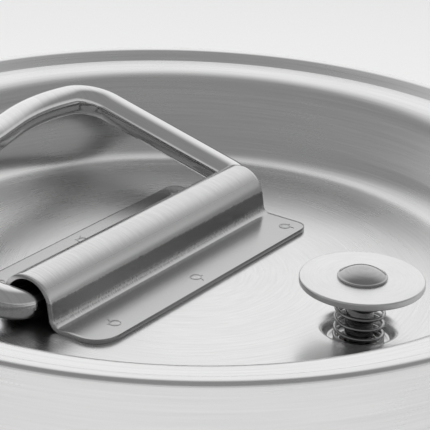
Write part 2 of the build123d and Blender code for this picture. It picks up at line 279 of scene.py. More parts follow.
# The marks that polishing leaves, long along their lines and markPitch apart across them. Turned marks run
# round an upright axis, and straight ones along the named axes. A 180 grit belt leaves marks about 0.1 mm
# apart, too fine to show, so they are drawn at markPitch.
def polishMarks(tree, look, centre, split):
    perMark = 1 / (look["markPitch"] * mm)
    perLength = 1 / (look["markLength"] * mm)
    depthPlace = 0.0
    if look["lines"] == "turned":
        flat = addNode(tree, "ShaderNodeCombineXYZ", {
            "X": split.outputs[0], "Y": split.outputs[1]}).outputs[0]
        reach = addNode(tree, "ShaderNodeVectorMath", {0: flat}, operation="LENGTH").outputs["Value"]
        ray = addNode(tree, "ShaderNodeVectorMath", {0: flat}, operation="NORMALIZE").outputs[0]
        # one mark covers markLength on a circle of turnRadius
        around = addNode(tree, "ShaderNodeVectorMath", {
            0: ray, "Scale": look["turnRadius"] * mm * perLength}, operation="SCALE").outputs[0]
        ringPlace = addNode(tree, "ShaderNodeMath", {0: reach, 1: perMark}, operation="MULTIPLY").outputs[0]
        turn = addNode(tree, "ShaderNodeSeparateXYZ", {"Vector": around})
        markPlace = addNode(tree, "ShaderNodeCombineXYZ", {
            "X": turn.outputs[0], "Y": turn.outputs[1], "Z": ringPlace}).outputs[0]
        depthPlace = addNode(tree, "ShaderNodeMath", {
            0: split.outputs[2], 1: perMark}, operation="MULTIPLY").outputs[0]
    else:
        along = {axis: perLength if axis in look["lines"] else perMark for axis in "XYZ"}
        stretch = addNode(tree, "ShaderNodeCombineXYZ", along).outputs[0]
        markPlace = addNode(tree, "ShaderNodeVectorMath", {
            0: centre, 1: stretch}, operation="MULTIPLY").outputs[0]
    return addNode(tree, "ShaderNodeTexNoise", {
        "Vector": markPlace, "W": depthPlace, "Scale": 1.0, "Detail": 3.0, "Roughness": 0.62},
        noise_dimensions="4D").outputs["Fac"]


# stray pits: of the cells, only those whose random colour is high keep theirs
def strayPits(tree, look, centre):
    share = look["pitSize"] / look["pitSpacing"]
    cells = addNode(tree, "ShaderNodeTexVoronoi", {
        "Vector": centre, "Scale": 1 / (look["pitSpacing"] * mm), "Randomness": 1.0})
    near = addNode(tree, "ShaderNodeMapRange", {
        "Value": cells.outputs["Distance"], "From Min": share * 0.5, "From Max": share,
        "To Min": 1.0, "To Max": 0.0}, interpolation_type="SMOOTHSTEP").outputs[0]
    luck = addNode(tree, "ShaderNodeSeparateColor", {"Color": cells.outputs["Color"]}).outputs[0]
    kept = addNode(tree, "ShaderNodeMath", {
        0: luck, 1: look["pitShare"]}, operation="GREATER_THAN").outputs[0]
    return addNode(tree, "ShaderNodeMath", {0: near, 1: kept}, operation="MULTIPLY").outputs[0]


# a painted reflection band: a lighter or darker stripe painted between two heights where the strap's bends
# mirror bright or dark surroundings, ragged along its edges
def paintedReflectionBand(tree, paintedBand, marks, split):
    ragged = addNode(tree, "ShaderNodeMapRange", {
        "Value": marks, "From Min": 0.25, "From Max": 0.75,
        "To Min": -paintedBand["ragged"] * mm, "To Max": paintedBand["ragged"] * mm}).outputs[0]
    level = addNode(tree, "ShaderNodeMath", {0: split.outputs[2], 1: ragged}, operation="ADD").outputs[0]
    low, high = paintedBand["low"] * mm, paintedBand["high"] * mm
    rise = addNode(tree, "ShaderNodeMapRange", {
        "Value": level, "From Min": low, "From Max": low + 0.4 * mm},
        interpolation_type="SMOOTHSTEP").outputs[0]
    fall = addNode(tree, "ShaderNodeMapRange", {
        "Value": level, "From Min": high, "From Max": high + paintedBand["fade"] * mm,
        "To Min": 1.0, "To Max": 0.0}, interpolation_type="SMOOTHSTEP").outputs[0]
    return addNode(tree, "ShaderNodeMath", {0: rise, 1: fall}, operation="MULTIPLY").outputs[0]


# a steel surface with its marks, pits and stripes, as its look says
def steelMaterial(name, look):
    material, tree = newMaterial(name)
    place = addNode(tree, "ShaderNodeTexCoord").outputs["Object"]
    centre = addNode(tree, "ShaderNodeMapping", {
        "Vector": place, "Location": look.get("centre", (0, 0, 0))}).outputs[0]
    split = addNode(tree, "ShaderNodeSeparateXYZ", {"Vector": centre})
    marks = polishMarks(tree, look, centre, split)
    # slow changes of the polish, the grain of the rolled sheet, and the waves that pressing leaves
    fields = []
    for size, detail in (("cloudSize", 3.0), ("grainSize", 2.0), ("waveSize", 1.0)):
        fields.append(addNode(tree, "ShaderNodeTexNoise", {
            "Vector": centre, "Scale": 1 / (look[size] * mm), "Detail": detail}).outputs["Fac"])
    cloud, grain, wavy = fields

    rough = look["roughness"]
    byCloud = addNode(tree, "ShaderNodeMapRange", {
        "Value": cloud, "From Min": 0.3, "From Max": 0.7,
        "To Min": rough - look["cloudy"], "To Max": rough + look["cloudy"]}).outputs[0]
    byMark = addNode(tree, "ShaderNodeMapRange", {
        "Value": marks, "From Min": 0.3, "From Max": 0.7,
        "To Min": -look["streaky"], "To Max": look["streaky"]}).outputs[0]
    roughness = addNode(tree, "ShaderNodeMath", {
        0: byCloud, 1: byMark}, operation="ADD", use_clamp=True).outputs[0]
    # the marks lighten and darken the metal a little as well
    shade = addNode(tree, "ShaderNodeMapRange", {
        "Value": marks, "From Min": 0.28, "From Max": 0.72, "To Min": 0.0, "To Max": 1.0}).outputs[0]
    colour = addNode(tree, "ShaderNodeMix", {
        "Factor": shade, 6: linearColour(look["darkColour"]), 7: linearColour(look["lightColour"])},
        data_type="RGBA").outputs[2]

    layers = []
    if look.get("pitSpacing"):
        layers.append((strayPits(tree, look, centre), "#3A3A3A", 0.7))
    # painted reflection bands: stripes of painted highlight and painted shade
    for paintedBand in look.get("paintedReflectionBands", ()):
        layers.append((paintedReflectionBand(tree, paintedBand, marks, split), paintedBand["colour"], paintedBand["roughness"]))
    for mask, layerColour, layerRoughness in layers:
        colour = addNode(tree, "ShaderNodeMix", {
            "Factor": mask, 6: colour, 7: linearColour(layerColour)}, data_type="RGBA").outputs[2]
        roughness = addNode(tree, "ShaderNodeMix", {
            "Factor": mask, 2: roughness, 3: layerRoughness}).outputs[0]

    normal = None
    for height, depth in ((wavy, "waveDepth"), (marks, "markDepth"), (grain, "grainDepth")):
        inputs = {"Height": height, "Strength": 1.0, "Distance": look[depth] * mm}
        if normal is not None:
            inputs["Normal"] = normal
        normal = addNode(tree, "ShaderNodeBump", inputs).outputs[0]
    shader = addNode(tree, "ShaderNodeBsdfPrincipled", {
        "Base Color": colour, "Metallic": 1.0, "Roughness": roughness, "Normal": normal})
    addNode(tree, "ShaderNodeOutputMaterial", {"Surface": shader.outputs[0]})
    return material


# Silicone rubber, moulded: a dull pale skin with a faint orange peel that takes the edge off highlights.
def rubberMaterial(name, look):
    material, tree = newMaterial(name)
    place = addNode(tree, "ShaderNodeTexCoord").outputs["Object"]
    peel = addNode(tree, "ShaderNodeTexNoise", {
        "Vector": place, "Scale": 1 / (look["peelSize"] * mm), "Detail": 3.0}).outputs["Fac"]
    cloud = addNode(tree, "ShaderNodeTexNoise", {
        "Vector": place, "Scale": 1 / (look["cloudSize"] * mm), "Detail": 2.0}).outputs["Fac"]
    colour = addNode(tree, "ShaderNodeMix", {
        "Factor": cloud, 6: linearColour(look["darkColour"]), 7: linearColour(look["lightColour"])},
        data_type="RGBA").outputs[2]
    roughness = addNode(tree, "ShaderNodeMapRange", {
        "Value": peel, "To Min": look["roughness"] - 0.08, "To Max": look["roughness"] + 0.08}).outputs[0]
    normal = addNode(tree, "ShaderNodeBump", {
        "Height": peel, "Strength": 1.0, "Distance": look["peelDepth"] * mm}).outputs[0]
    shader = addNode(tree, "ShaderNodeBsdfPrincipled", {
        "Base Color": colour, "Roughness": roughness, "Normal": normal, "IOR": 1.41,
        "Subsurface Weight": 0.08, "Subsurface Scale": 0.004})
    addNode(tree, "ShaderNodeOutputMaterial", {"Surface": shader.outputs[0]})
    return material


# Stainless sheet, turned and satin polished: soft streaks in circles, blurred reflections.
turnedSheet = {
    "lines": "turned", "turnRadius": 90, "markPitch": 0.7, "markLength": 30, "markDepth": 0.0003,
    "cloudSize": 45, "grainSize": 0.7, "grainDepth": 0.0006, "waveSize": 55, "waveDepth": 0.22,
    "roughness": 0.26, "cloudy": 0.035, "streaky": 0.012, "darkColour": "#CDCDCD", "lightColour": "#D8D8D8",
    "pitSpacing": 22, "pitSize": 0.42, "pitShare": 0.78}
panSteel = steelMaterial("satinTurnedStainlessSheet", turnedSheet)

# Stainless sheet, spun and belt polished round the can: long level streaks, a little duller than the lid.
canSteel = steelMaterial("beltPolishedStainlessShell", dict(
    turnedSheet, turnRadius=178, markPitch=1.5, markLength=90, cloudSize=120, waveSize=90, waveDepth=0.3,
    markDepth=0.0014, streaky=0.04, roughness=0.27, cloudy=0.05, pitSpacing=60, pitSize=0.5))

# Stainless strap, brushed across the fold: fine upright striations, and painted reflection bands beside the
# bends, darker where it mirrors dark surroundings and lighter as painted highlights.
bracketSteel = steelMaterial("brushedStainlessStrap", dict(
    turnedSheet, lines="YZ", markPitch=0.5, markLength=10, markDepth=0.0018, cloudSize=24, grainSize=0.45,
    grainDepth=0.0014, waveSize=30, waveDepth=0.05, roughness=0.19, cloudy=0.03, streaky=0.02,
    darkColour="#BBBBBB", lightColour="#CCCCCC", pitSpacing=16, pitSize=0.4, pitShare=0.72,
    # painted shade and highlights: dark over the flange, a painted highlight on the foot bend, dark up the
    # upright side, a painted highlight on the crown's lower curve
    paintedReflectionBands=(
        {"low": 516.0, "high": 519.6, "ragged": 0.0, "fade": 0.5, "colour": "#AEAEAE", "roughness": 0.19},
        {"low": 520.2, "high": 521.0, "ragged": 1.0, "fade": 0.5, "colour": "#DADADA", "roughness": 0.4},
        {"low": 521.8, "high": 526.0, "ragged": 0.5, "fade": 0.5, "colour": "#A6A6A6", "roughness": 0.2},
        {"low": 526.3, "high": 529.0, "ragged": 0.3, "fade": 2.5, "colour": "#DCDCDC", "roughness": 0.34})))

# Stainless round bar, polished: a clear mirror with a faint grain along the bar.
rodSteel = steelMaterial("polishedStainlessBar", dict(
    turnedSheet, lines="YZ", markPitch=0.8, markLength=24, markDepth=0.0006, cloudSize=26, grainSize=0.9,
    grainDepth=0.0008, waveSize=14, waveDepth=0.03, roughness=0.1, cloudy=0.025, streaky=0.012,
    darkColour="#CACACA", lightColour="#D6D6D6", pitSpacing=18, pitSize=0.3))

# Stainless disc, blanked and tumbled: an even satin with hardly any direction.
discSteel = steelMaterial("tumbledStainlessDisc", dict(
    turnedSheet, turnRadius=14, markPitch=0.5, markLength=5, markDepth=0.0012, centre=(-0.001, 0.063, 0),
    cloudSize=11, grainSize=0.45, grainDepth=0.0016, waveSize=12, waveDepth=0.02, roughness=0.34, cloudy=0.04,
    streaky=0.02, darkColour="#CFCFCF", lightColour="#D9D9D9", pitSpacing=9, pitSize=0.3))

# Stainless rivet, headed cold and polished: a clear mirror with slight unevenness from the die.
rivetSteel = steelMaterial("polishedStainlessRivet", dict(
    turnedSheet, turnRadius=5, markPitch=0.7, markLength=6, markDepth=0.0003, centre=(-0.001, 0.063, 0),
    cloudSize=6, grainSize=0.6, grainDepth=0.0006, waveSize=5, waveDepth=0.02, roughness=0.13, cloudy=0.03,
    streaky=0.01, darkColour="#9C9C9C", lightColour="#A9A9A9", pitSpacing=None))

# Stainless spring wire, drawn: bright and smooth with fine lines along the wire.
wireSteel = steelMaterial("drawnStainlessWire", dict(
    turnedSheet, turnRadius=7, markPitch=0.25, markLength=8, markDepth=0.0004, centre=(-0.001, 0.063, 0),
    cloudSize=5, grainSize=0.3, grainDepth=0.0003, waveSize=6, waveDepth=0.01, roughness=0.12, cloudy=0.02,
    streaky=0.02, darkColour="#8C8C8C", lightColour="#A8A8A8", pitSpacing=None))

# Stainless weld metal, melted and brushed clean: small ripples, duller and darker than the sheet.
weldSteel = steelMaterial("brushedStainlessWeld", dict(
    turnedSheet, lines="Z", markPitch=0.6, markLength=3, markDepth=0.004, cloudSize=9, grainSize=0.5,
    grainDepth=0.003, waveSize=6, waveDepth=0.03, roughness=0.36, cloudy=0.08, streaky=0.05,
    darkColour="#ADADAD", lightColour="#CCCCCC", pitSpacing=None))

gasketRubber = rubberMaterial("mouldedSiliconeRubber", {
    "darkColour": "#C9C8C2", "lightColour": "#D9D8D3", "roughness": 0.55, "cloudSize": 30,
    "peelSize": 0.8, "peelDepth": 0.01})

# Stainless plate, sheared and brushed level: short streaks along the can's wall.
plateSteel = steelMaterial("brushedStainlessPlate", dict(
    turnedSheet, lines="XY", markPitch=0.8, markLength=24, markDepth=0.003, cloudSize=30, grainSize=0.6,
    grainDepth=0.001, waveSize=40, waveDepth=0.08, roughness=0.3, cloudy=0.04))

# Stainless round bar for the side handles, polished a little less than the bail: a softer shine.
handleSteel = steelMaterial("satinStainlessBar", dict(
    turnedSheet, lines="YZ", markPitch=0.8, markLength=30, markDepth=0.001, cloudSize=40, grainSize=0.9,
    grainDepth=0.0008, waveSize=20, waveDepth=0.04, roughness=0.17, cloudy=0.03, streaky=0.03))
print("materials made")


lid = {
    "sheet": 1.2, "floorTop": 518.0, "recessDepth": 26.5, "recessRadius": 110.0, "floorRadius": 96.5,
    "coveBend": 14.0, "rimBend": 9.0, "rimRise": 0.8, "beadStart": 121.3, "beadRun": 4.1, "beadRise": 2.9,
    "beadBend": 1.2, "lidRadius": 128.8, "skirtBend": 1.1, "skirtLength": 19.5, "sides": 320}
vent = {
    "x": 1.0, "y": -63.0, "dimpleRadius": 13.5, "dimpleDepth": 4.2, "dimpleSlope": 1.5, "dimpleBend": 2.4,
    "seatBend": 1.4, "holeRadius": 5.5, "sides": 96}

wallAngle = math.atan2(lid["recessRadius"] - lid["floorRadius"], lid["recessDepth"])


# radius of the recess wall at a height above the floor, moved out square to the wall
def wallLine(height, offset):
    slope = (lid["recessRadius"] - lid["floorRadius"]) / lid["recessDepth"]
    return lid["floorRadius"] + slope * height + offset / math.cos(wallAngle)


def makeLidPan():
    half = lid["sheet"] / 2
    rim = lid["recessDepth"] - half
    panLine = bentLine([
        (vent["dimpleRadius"] + 10, -half),
        (wallLine(-half, half), -half),
        (wallLine(rim - lid["rimRise"], half), rim - lid["rimRise"]),
        (lid["beadStart"], rim),
        (lid["beadStart"] + lid["beadRun"], rim + lid["beadRise"]),
        (lid["lidRadius"] - half, rim + lid["beadRise"]),
        (lid["lidRadius"] - half, rim + lid["beadRise"] - lid["skirtLength"]),
    ], [lid["coveBend"], lid["rimBend"], lid["beadBend"], lid["beadBend"], lid["skirtBend"]], 0.8)
    panLine = splitRuns(panLine[1:], 2.5)
    dimple = vent["dimpleRadius"]
    dimpleLine = bentLine([
        (vent["holeRadius"], -vent["dimpleDepth"] - half),
        (dimple - 2.2 - vent["dimpleSlope"], -vent["dimpleDepth"] - half),
        (dimple - 2.2, -half),
        (dimple + 2.5, -half),
    ], [vent["seatBend"], vent["dimpleBend"]], 0.3)
    dimpleLine = dimpleLine[:-1]
    # the flat between the dimple's circle and the floor's circle is spanned by rings that shift their centre
    spans = 26
    line = [(p, 0.0) for p in dimpleLine]
    last, first = dimpleLine[-1], panLine[0]
    line += [(last.lerp(first, i / spans), i / spans) for i in range(1, spans)]
    line += [(p, 1.0) for p in panLine]
    outline = sheetOutline([p for p, share in line], lid["sheet"], 0.25)
    count = len(line)
    endPoints = len(outline) - 2 * (count - 2)
    shares = [share for p, share in line[1:-1]]
    shares = shares + [1.0] * (endPoints // 2) + shares[::-1] + [0.0] * (endPoints // 2)
    rings = []
    for point, share in zip(outline, shares):
        rings.append((point.x, lid["floorTop"] + point.y, vent["x"] * (1 - share), vent["y"] * (1 - share)))
    return turnedPiece("lidPan", rings, panSteel, lid["sides"], True, 40)


def plainRings(outline, base=0.0, x=0.0, y=0.0):
    return [(p.x, base + p.y, x, y) for p in outline]


lidPan = makeLidPan()

gasketTop = lid["recessDepth"] - lid["sheet"]
gasket = {"thickness": 3.0, "neckRadius": 113.0, "reach": 120.8, "lip": 10.0, "ease": 0.5}


def makeGasket():
    low = gasketTop - gasket["thickness"]
    lipLow = gasketTop - gasket["lip"]
    inside = gasket["neckRadius"] - 0.4
    offset = lid["sheet"] + 0.1
    rimInside = wallLine(gasketTop + lid["sheet"] / 2 - lid["rimRise"], lid["sheet"] / 2)
    rimSlope = lid["rimRise"] / (lid["beadStart"] - rimInside)
    wallSlope = math.tan(wallAngle)
    high = (gasketTop - rimSlope * (lid["beadStart"] - wallLine(0, offset))) / (1 - rimSlope * wallSlope)
    lipMiddle = ((wallLine(lipLow, offset) + inside) / 2, lipLow)
    corners = [
        lipMiddle, (inside, lipLow), (inside, low), (gasket["reach"], low),
        (gasket["reach"], gasketTop - 0.5 * rimSlope), (wallLine(high, offset), high),
        (wallLine(lipLow, offset), lipLow), lipMiddle]
    ease = gasket["ease"]
    outline = bentLine(corners, [ease, 0.2, ease, 0.2, lid["rimBend"] - lid["sheet"] / 2, ease], 0.4)[:-1]
    return turnedPiece("lidGasket", plainRings(outline, lid["floorTop"]), gasketRubber, 200, True, 30)


lidGasket = makeGasket()
print("lid pan and seal made")

bracket = {
    "sheet": 1.5, "length": 110.0, "width": 54.4, "shift": -3.0, "offset": 13.7, "channelRadius": 7.5,
    "crownHeight": 6.2, "lean": 10.0, "bend": 3.0, "cornerLeft": 8.0, "cornerRight": 4.0, "edge": 0.28,
    "lengthSteps": 110, "spots": (-0.378, -0.01, 0.444), "spotRadius": 1.7, "spotRise": 0.22,
    "spotWire": 0.16, "spotSeed": 4}

crownMid = bracket["channelRadius"] + bracket["sheet"] / 2
apexHeight = bracket["crownHeight"] + crownMid / math.sin(math.radians(bracket["lean"]))
footHalf = (apexHeight - bracket["sheet"] / 2) * math.tan(math.radians(bracket["lean"]))


def makeBracket():
    half = bracket["sheet"] / 2
    width = bracket["width"] / 2
    section = bentLine([(-width, half), (-footHalf, half), (0, apexHeight), (footHalf, half), (width, half)],
                       [bracket["bend"], crownMid, bracket["bend"]], 0.45)
    section = splitRuns(section, 0.6)
    left = bracket["shift"] - bracket["length"] / 2
    right = left + bracket["length"]
    steps = bracket["lengthSteps"]
    points = []
    for across in section:
        margin = width - abs(across.x)
        start = left + cornerCut(bracket["cornerLeft"], margin)
        end = right - cornerCut(bracket["cornerRight"], margin)
        for i in range(steps + 1):
            x = start + (end - start) * i / steps
            points.append((x, bracket["offset"] + across.x, lid["floorTop"] + across.y))
    piece = makePiece("handleBracket", points, gridFaces(len(section), steps + 1), bracketSteel, 60)
    return finishSheet(piece, bracket["sheet"], bracket["edge"], 50, True)


handleBracket = makeBracket()


# Spot welds: on each point a shallow dished button, the ring of the electrode and two tick marks.
def makeSpotWelds():
    tree, start, end = newTree("spotWeldMarks", [
        ("Radius", "NodeSocketFloat", 0.0017), ("Rise", "NodeSocketFloat", 0.0002),
        ("Wire", "NodeSocketFloat", 0.00014), ("Seed", "NodeSocketInt", 4),
        ("Steel", "NodeSocketMaterial", None)])
    radius, rise, wire = (start.outputs[name] for name in ("Radius", "Rise", "Wire"))
    innerRadius = addNode(tree, "ShaderNodeMath", {0: radius, 1: 0.55}, operation="MULTIPLY").outputs[0]
    button = addNode(tree, "GeometryNodeMeshCone", {
        "Vertices": 28, "Side Segments": 2, "Fill Segments": 2, "Radius Top": innerRadius,
        "Radius Bottom": radius, "Depth": rise}).outputs[0]
    circle, thin = (addNode(tree, "GeometryNodeCurvePrimitiveCircle", {
        "Resolution": count, "Radius": reach}).outputs[0] for count, reach in ((40, radius), (8, wire)))
    ring = addNode(tree, "GeometryNodeCurveToMesh", {0: circle, 1: thin}).outputs[0]
    # tick marks: short scratches that leave the ring at a slant
    far, near = (addNode(tree, "ShaderNodeMath", {
        0: radius, 1: share}, operation="MULTIPLY").outputs[0] for share in (1.75, 0.6))
    tickStart = addNode(tree, "ShaderNodeCombineXYZ", {"X": near, "Y": near}).outputs[0]
    tickEnd = addNode(tree, "ShaderNodeCombineXYZ", {"X": far, "Y": near}).outputs[0]
    tickLine = addNode(tree, "GeometryNodeCurvePrimitiveLine", {
        "Start": tickStart, "End": tickEnd}).outputs[0]
    tick = addNode(tree, "GeometryNodeCurveToMesh", {0: tickLine, 1: thin, "Fill Caps": True}).outputs[0]
    tickTurned = addNode(tree, "GeometryNodeTransform", {
        "Geometry": tick, "Rotation": (0, 0, 1.2), "Scale": (0.8, 0.8, 0.8)}).outputs[0]
    mark = addNode(tree, "GeometryNodeJoinGeometry").inputs[0]
    for part in (tickTurned, tick, ring, button):
        tree.links.new(part, mark)
    spin = addNode(tree, "FunctionNodeRandomValue", {
        0: (0, 0, 0), 1: (0, 0, 6.28), "Seed": start.outputs["Seed"]}, data_type="FLOAT_VECTOR").outputs[0]
    placed = addNode(tree, "GeometryNodeInstanceOnPoints", {
        "Points": start.outputs["Geometry"], "Instance": mark.node.outputs[0], "Rotation": spin}).outputs[0]
    real = addNode(tree, "GeometryNodeRealizeInstances", {0: placed}).outputs[0]
    steel = addNode(tree, "GeometryNodeSetMaterial", {"Geometry": real, "Material": start.outputs["Steel"]})
    tree.links.new(steel.outputs[0], end.inputs[0])

    row = (footHalf + bracket["bend"] + bracket["width"] / 2) / 2 + 2.0
    top = lid["floorTop"] + bracket["sheet"]
    spots = [(bracket["shift"] + share * bracket["length"], bracket["offset"] + way * row, top)
             for share in bracket["spots"] for way in (-1, 1)]
    return growPiece(seedPiece("bracketWelds", spots), tree, {
        "Radius": bracket["spotRadius"] * mm, "Rise": bracket["spotRise"] * mm,
        "Wire": bracket["spotWire"] * mm, "Seed": bracket["spotSeed"], "Steel": weldSteel}, 40)


bracketWelds = makeSpotWelds()
print("handle bracket and its spot welds made")

bail = {
    "rod": 10.0, "gap": 0.8, "reach": 70.5, "splay": 0.8, "bulge": 4.2, "bulgePlace": 36.0, "dip": 2.6,
    "hingeBend": 9.0, "cornerBend": 12.0, "bulgeBend": 78.0, "dipBend": 60.0, "tilt": 12.7, "buttGap": 1.2,
    "creaseRise": 1.5, "creaseSize": 1.7, "creaseIn": 9.2, "creaseBack": 9.0, "creaseDrop": 1.5}

hingeHeight = lid["floorTop"] + bracket["crownHeight"]
tilt = math.radians(bail["tilt"])
hinge = Vector((bracket["shift"], bracket["offset"], hingeHeight))
bailOut = Vector((0, math.cos(tilt), math.sin(tilt)))
bailUp = Vector((0, -math.sin(tilt), math.cos(tilt)))


def bailPlace(across, out):
    return hinge + Vector((across, 0, 0)) + bailOut * out


def makeBail():
    arm = bracket["length"] / 2 + bail["gap"] + bail["rod"] / 2
    corner = arm + bail["splay"]
    butt = bail["buttGap"] / 2
    high, low = bail["reach"] + bail["bulge"], bail["reach"] - bail["dip"]
    route = [(butt, 0), (arm, 0), (corner, bail["reach"]), (bail["bulgePlace"], high), (0, low),
             (-bail["bulgePlace"], high), (-corner, bail["reach"]), (-arm, 0), (-butt, 0)]
    bends = [bail["hingeBend"], bail["cornerBend"], bail["bulgeBend"], bail["dipBend"], bail["bulgeBend"],
             bail["cornerBend"], bail["hingeBend"]]
    line = bentLine([bailPlace(*p) for p in route], bends, 0.7)
    # the inside of each tight bend is upset into a small crease
    creases = []
    for way in (-1, 1):
        inner = bailPlace(way * (corner - bail["creaseIn"]), bail["reach"] - bail["creaseBack"])
        creases.append(inner - bailUp * bail["creaseDrop"])

    def crease(point, spoke):
        surface = point + spoke * bail["rod"] / 2
        near = min((surface - c).length for c in creases)
        return bail["creaseRise"] * math.exp(-(near / bail["creaseSize"]) ** 2)

    return barPiece("bailRod", splitRuns(line, 2.0), bail["rod"] / 2, bailUp, rodSteel, 56, crease)


bailRod = makeBail()


# Weld beads: an oval bar along the piece's own edges, whose thickness ripples as the melt froze.
def beadTree():
    tree, start, end = newTree("rippledBead", [
        ("Width", "NodeSocketFloat", 0.002), ("Height", "NodeSocketFloat", 0.0006),
        ("Ripple", "NodeSocketFloat", 0.0012), ("Depth", "NodeSocketFloat", 0.1),
        ("Sides", "NodeSocketInt", 10), ("Seed", "NodeSocketInt", 2), ("Steel", "NodeSocketMaterial", None)])
    ripple = start.outputs["Ripple"]
    path = addNode(tree, "GeometryNodeMeshToCurve", {0: start.outputs["Geometry"]}).outputs[0]
    step = addNode(tree, "ShaderNodeMath", {0: ripple, 1: 0.25}, operation="MULTIPLY").outputs[0]
    evenPath = addNode(tree, "GeometryNodeResampleCurve", {
        "Curve": path, "Length": step}, mode="LENGTH").outputs[0]
    reach = addNode(tree, "GeometryNodeSplineParameter").outputs["Length"]
    phase = addNode(tree, "ShaderNodeMath", {0: reach, 1: ripple}, operation="DIVIDE").outputs[0]
    saw = addNode(tree, "ShaderNodeMath", {0: phase}, operation="FRACT").outputs[0]
    uneven = addNode(tree, "FunctionNodeRandomValue", {
        "Seed": start.outputs["Seed"]}, data_type="FLOAT").outputs[1]
    mixed = addNode(tree, "ShaderNodeMath", {
        0: uneven, 1: 0.35, 2: saw}, operation="MULTIPLY_ADD").outputs[0]
    lift = addNode(tree, "ShaderNodeMath", {0: mixed, 1: start.outputs["Depth"], 2: 1.0},
                   operation="MULTIPLY_ADD").outputs[0]
    oval = addNode(tree, "GeometryNodeCurvePrimitiveCircle", {
        "Resolution": start.outputs["Sides"], "Radius": 1.0}).outputs[0]
    squeeze = addNode(tree, "ShaderNodeCombineXYZ", {
        "X": start.outputs["Height"], "Y": start.outputs["Width"], "Z": 1.0}).outputs[0]
    profile = addNode(tree, "GeometryNodeTransform", {"Geometry": oval, "Scale": squeeze}).outputs[0]
    bead = addNode(tree, "GeometryNodeCurveToMesh", {
        "Curve": evenPath, "Profile Curve": profile, "Scale": lift, "Fill Caps": True})
    real = addNode(tree, "GeometryNodeRealizeInstances", {0: bead.outputs[0]}).outputs[0]
    steel = addNode(tree, "GeometryNodeSetMaterial", {"Geometry": real, "Material": start.outputs["Steel"]})
    tree.links.new(steel.outputs[0], end.inputs[0])
    return tree


ripples = beadTree()


# a bead of weld round one or more closed lines of points in millimetres
def weldBead(name, lines, values):
    points, edges = [], []
    for line in lines:
        first = len(points)
        points += line
        edges += [(first + i, first + i + 1) for i in range(len(line) - 1)]
        edges.append((len(points) - 1, first))
    look = dict({"Sides": 10, "Seed": 2, "Steel": weldSteel}, **values)
    return growPiece(seedPiece(name, points, edges), ripples, look, 50)

# the points of a level circle
def circleLine(radius, height, count):
    turns = [2 * math.pi * i / count for i in range(count)]
    return [Vector((radius * math.cos(a), radius * math.sin(a), height)) for a in turns]


bailJoint = {
    "half": 1.9, "root": 0.5, "beadHalf": 1.75, "beadRise": 0.3, "ripple": 0.05, "waves": 9, "sides": 48}


# the butt weld closes the loop inside the channel; its bead stands just proud of the bar
def makeBailWeld():
    radius, half = bail["rod"] / 2, bailJoint["half"]
    section = [(0.0, -half), (radius - bailJoint["root"], -half)]
    for i in range(13):
        share = i / 12 * 2 - 1
        ripple = bailJoint["ripple"] * math.cos(share * bailJoint["waves"]) * (1 - share**2)
        rise = bailJoint["beadRise"] * math.sqrt(max(0.0, 1 - share**2))
        section.append((radius + rise + ripple, share * bailJoint["beadHalf"]))
    section += [(radius - bailJoint["root"], half), (0.0, half)]
    points, sides = [], bailJoint["sides"]
    for out, along in section:
        for k in range(sides):
            angle = 2 * math.pi * k / sides
            points.append(hinge + Vector((along, out * math.cos(angle), out * math.sin(angle))))
    return makePiece("bailWeld", points, tubeFaces(len(section), sides), weldSteel, 50)


bailWeld = makeBailWeld()
print("bail made")

valve = {
    "button": 18.4, "buttonThick": 2.2, "buttonHeight": 15.8, "buttonEdge": 0.55, "stem": 4.2, "pin": 3.2,
    "head": 7.4, "headEdge": 0.7, "headRise": 2.5, "headRoll": 0.35,
    "spring": 7.1, "wire": 1.15, "turns": 6.4, "closedTurns": 1.0,
    "seal": 13.0, "sealThick": 2.0, "plate": 14.5, "plateThick": 1.5, "washer": 6.5, "washerThick": 1.0,
    "tail": 4.9, "tailRise": 1.8, "springGap": 0.05}


# an outline of (radius, height) corners as rings round the vent's axis
def ventRings(corners, bends, step=0.15):
    outline = bentLine(corners, bends, step)
    return plainRings(outline, lid["floorTop"], vent["x"], vent["y"])


# a flat ring on the vent's axis with eased edges
def ventDisc(name, radius, top, thick, ease, material):
    hole, low = valve["pin"], top - thick
    corners = [(hole, (low + top) / 2), (hole, low), (radius, low), (radius, top), (hole, top),
               (hole, (low + top) / 2)]
    rings = ventRings(corners, [0.1, ease, ease, 0.1])[:-1]
    return turnedPiece(name, rings, material, vent["sides"], True, 40)


ventButton = ventDisc("ventButton", valve["button"], valve["buttonHeight"], valve["buttonThick"],
                      valve["buttonEdge"], discSteel)
sealTop = -vent["dimpleDepth"] - lid["sheet"] - 0.1
plateTop = sealTop - valve["sealThick"]
washerTop = plateTop - valve["plateThick"]
tailTop = washerTop - valve["washerThick"]
ventSeal = ventDisc("ventSeal", valve["seal"], sealTop, valve["sealThick"], 0.4, gasketRubber)
ventPlate = ventDisc("ventPlate", valve["plate"], plateTop, valve["plateThick"], 0.35, discSteel)
ventWasher = ventDisc("ventWasher", valve["washer"], washerTop, valve["washerThick"], 0.25, discSteel)


# half of a cap's arc from the axis out to its rim, as (radius, rise)
def capLine(radius, rise, steps=14):
    ball = (radius**2 + rise**2) / (2 * rise)
    wide = math.asin(radius / ball)
    return [(ball * math.sin(wide * i / steps), ball * math.cos(wide * i / steps) - ball + rise)
            for i in range(steps + 1)]


